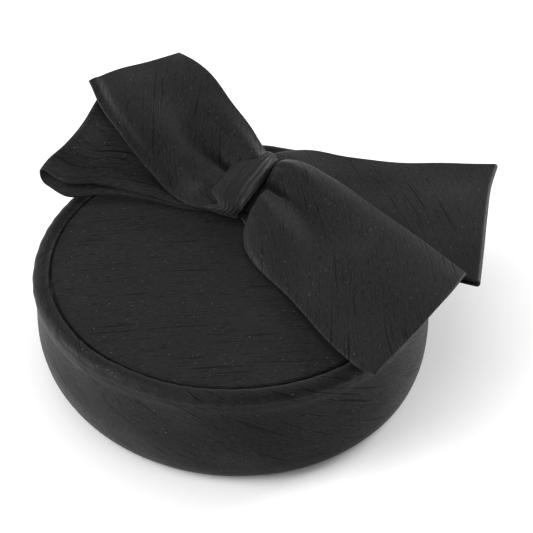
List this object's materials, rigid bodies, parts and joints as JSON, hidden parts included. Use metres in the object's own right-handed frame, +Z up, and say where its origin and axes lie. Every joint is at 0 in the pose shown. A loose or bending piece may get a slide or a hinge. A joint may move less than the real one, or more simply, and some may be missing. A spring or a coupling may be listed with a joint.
{
  "type": "jewelry gift box",
  "caption": "Round silk-covered jewelry gift box with a lift-off lid, a rolled rim, a soft flat bow and a velvet insert.",
  "frame": {"origin": "centre of the flat resting face, on the table", "axes": "+Z up and along the lid's lift; +X to the right of the front view, along the bow's longer right side; +Y to the back, where the knot sits"},
  "size_m": [0.217, 0.2109, 0.0958],
  "materials": {
    "slub_silk": "slubbed black silk, soft sheen",
    "slub_silk_bias": "slubbed black silk cut on the bias, soft sheen",
    "slub_silk_bow": "slubbed black silk in double layers, soft sheen",
    "velvet": "short-pile black velvet",
    "satin": "charcoal satin",
    "satin_padded": "charcoal satin over thin padding",
    "greyboard": "plain greyboard",
    "wadding": "polyester wadding",
    "foam": "thin foam sheet",
    "felt": "pressed black felt",
    "thread": "black sewing thread"
  },
  "bodies": {
    "base": {"foot_pad": "felt", "floor_board": "greyboard", "base_wall_board": "greyboard", "base_wall_cover": "slub_silk", "base_lining_collar": "velvet", "insert_card": "greyboard", "outer_ring_pad": "velvet", "channel_pad": "velvet", "centre_pad": "velvet", "ring_roll_front": "velvet", "ring_roll_back": "velvet"},
    "lid": {"lid_wall_board": "greyboard", "lid_top_board": "greyboard", "rim_filler_cord": "wadding", "side_wadding": "wadding", "side_band": "slub_silk_bias", "top_panel_card": "greyboard", "top_panel_foam": "foam", "top_panel_cover": "slub_silk", "lid_lining_wall": "satin", "lid_ceiling_card": "greyboard", "lid_ceiling_pad": "satin_padded", "bow_base_patch": "felt", "bow_tack_stitches": "thread", "bow_loop_strip": "slub_silk_bow", "bow_tail_strip": "slub_silk_bow", "knot_band": "slub_silk_bow"}
  },
  "joints": [
    {"name": "lid_lift", "type": "slide", "parent": "base", "child": "lid", "axis": [0, 0, 1], "range_m": [0, 0.09]}
  ]
}
